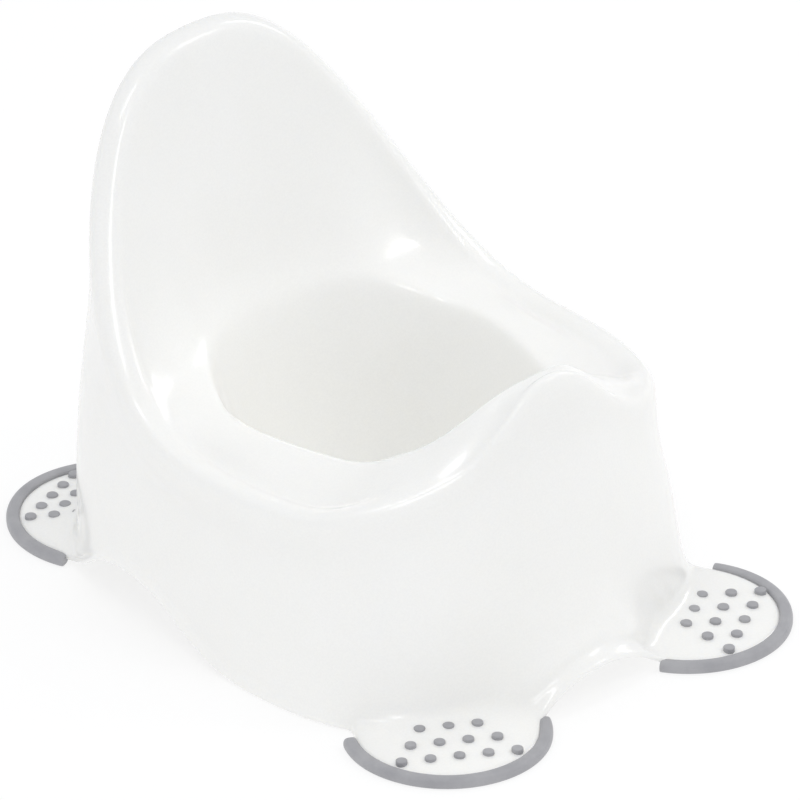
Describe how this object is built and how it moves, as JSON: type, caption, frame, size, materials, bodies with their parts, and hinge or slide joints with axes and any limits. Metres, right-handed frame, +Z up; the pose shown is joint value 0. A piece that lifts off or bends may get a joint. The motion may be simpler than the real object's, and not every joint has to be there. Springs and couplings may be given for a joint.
{
  "type": "potty training chair",
  "caption": "One-piece moulded toddler potty chair with a high scooped backrest, a deep bowl, a raised front splash guard and splayed feet with soft grip edges and grip dots.",
  "frame": {"origin": "on the floor under the middle of the chair", "axes": "+Z up, -Y the way the child faces, +Y towards the backrest"},
  "size_m": [0.276, 0.384, 0.2655],
  "materials": {
    "shell_plastic": "pearl white, glossy moulded plastic",
    "grip_rubber": "grey soft-touch rubber, satin"
  },
  "bodies": {
    "root": {"potty_shell": "shell_plastic", "grip_edge_front_left": "grip_rubber", "grip_dots_front_left": "grip_rubber", "grip_edge_front_right": "grip_rubber", "grip_dots_front_right": "grip_rubber", "grip_edge_rear_left": "grip_rubber", "grip_dots_rear_left": "grip_rubber", "grip_edge_rear_right": "grip_rubber", "grip_dots_rear_right": "grip_rubber"}
  },
  "joints": []
}
